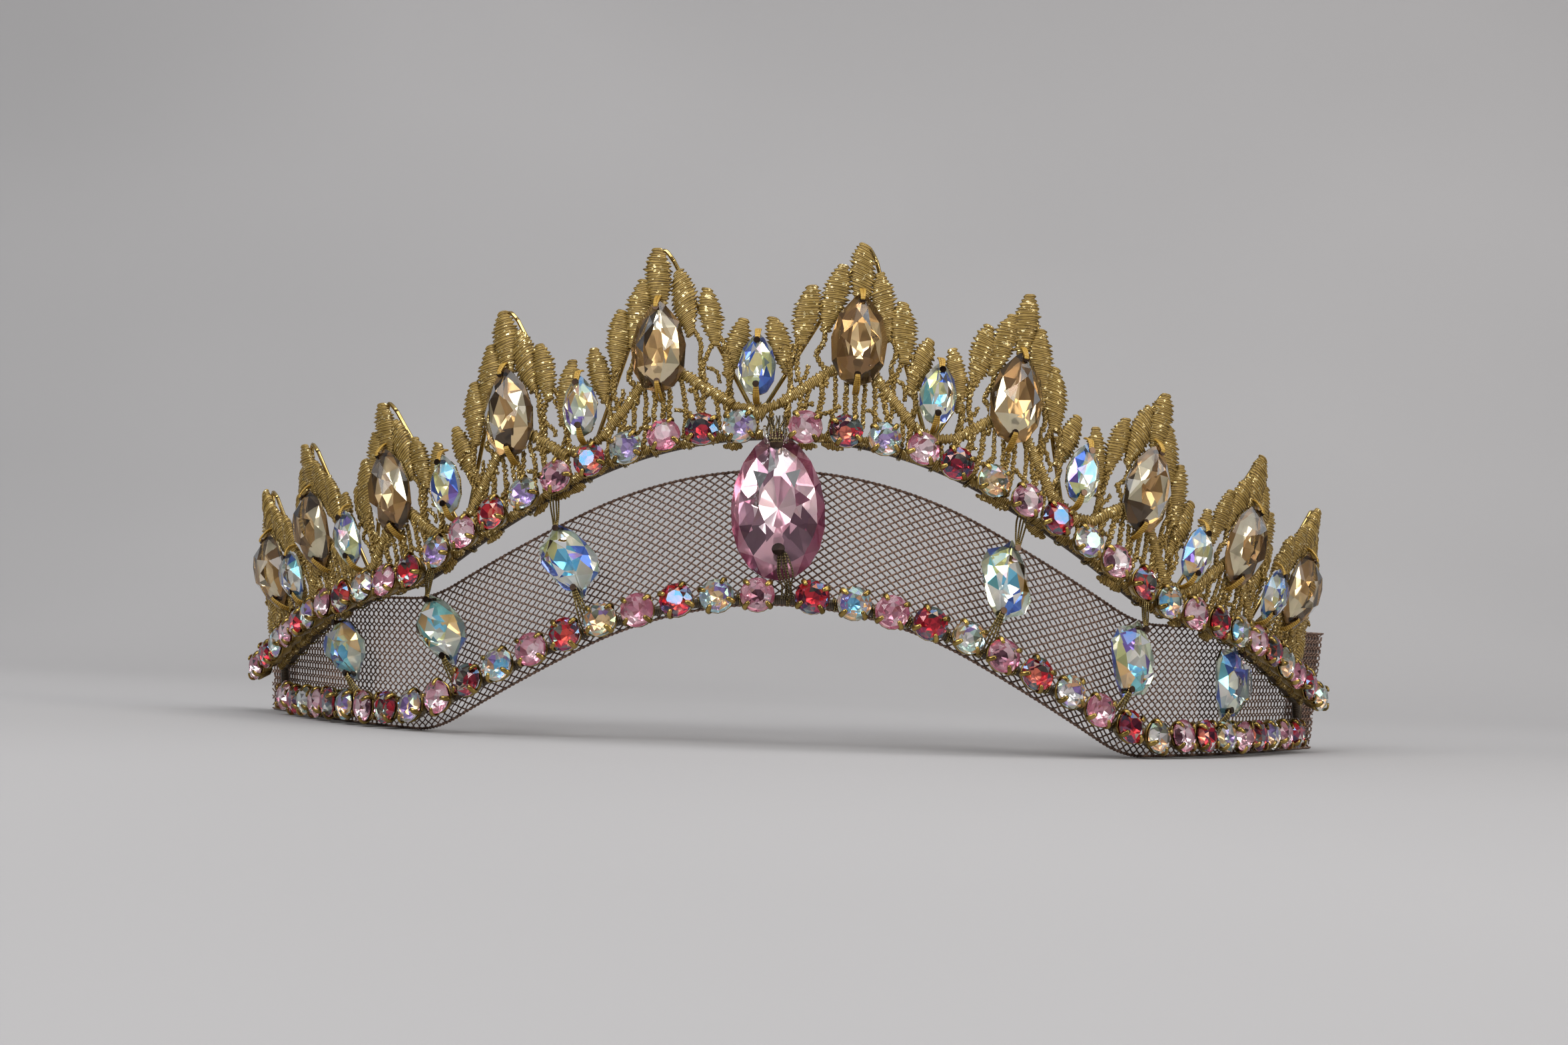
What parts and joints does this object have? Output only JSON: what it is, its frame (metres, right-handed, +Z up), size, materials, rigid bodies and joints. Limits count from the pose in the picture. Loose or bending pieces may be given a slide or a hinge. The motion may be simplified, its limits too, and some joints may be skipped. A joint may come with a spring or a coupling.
{
  "type": "tiara",
  "caption": "Open-backed wired tiara: two rows of set round stones, pointed gold lace scallops with pear stones, and a net band.",
  "frame": {"origin": "on the floor under the middle of the object's box", "axes": "+Z up as it stands; the front faces -Y; +X is the wearer's left"},
  "size_m": [0.2336, 0.0992, 0.0932],
  "materials": {
    "brown_net": "matt woven braid",
    "dark_wire": "dark thread-wrapped wire",
    "gold_wire": "bright",
    "gold_lace": "metallic thread",
    "brass_cups": "bright",
    "pink_glass": "cut, foiled back",
    "red_glass": "cut, rainbow coated",
    "crystal_glass": "cut, rainbow coated",
    "pink_pear": "cut, foiled back",
    "golden_glass": "cut, foiled back",
    "rainbow_glass": "cut, rainbow coated",
    "brass_thread": "metallic thread"
  },
  "bodies": {
    "root": {"centre_pear": "pink_pear", "centre_threads": "brass_thread", "drop_threads": "brass_thread", "lace_crown": "gold_lace", "large_pear_01": "golden_glass", "large_pear_02": "golden_glass", "large_pear_03": "golden_glass", "large_pear_04": "golden_glass", "large_pear_05": "golden_glass", "large_pear_06": "golden_glass", "large_pear_07": "golden_glass", "large_pear_08": "golden_glass", "large_pear_09": "golden_glass", "large_pear_10": "golden_glass", "lower_row_crystal": "crystal_glass", "lower_row_pink": "pink_glass", "lower_row_red": "red_glass", "lower_row_settings": "brass_cups", "lower_wire": "dark_wire", "net_band": "brown_net", "small_pear_01": "rainbow_glass", "small_pear_02": "rainbow_glass", "small_pear_03": "rainbow_glass", "small_pear_04": "rainbow_glass", "small_pear_05": "rainbow_glass", "small_pear_06": "rainbow_glass", "small_pear_07": "rainbow_glass", "small_pear_08": "rainbow_glass", "small_pear_09": "rainbow_glass", "support_wire": "gold_wire", "twist_drop_01": "rainbow_glass", "twist_drop_02": "rainbow_glass", "twist_drop_03": "rainbow_glass", "twist_drop_04": "rainbow_glass", "twist_drop_05": "rainbow_glass", "twist_drop_06": "rainbow_glass", "upper_row_crystal": "crystal_glass", "upper_row_pink": "pink_glass", "upper_row_red": "red_glass", "upper_row_settings": "brass_cups", "upper_wire": "dark_wire"}
  },
  "joints": []
}
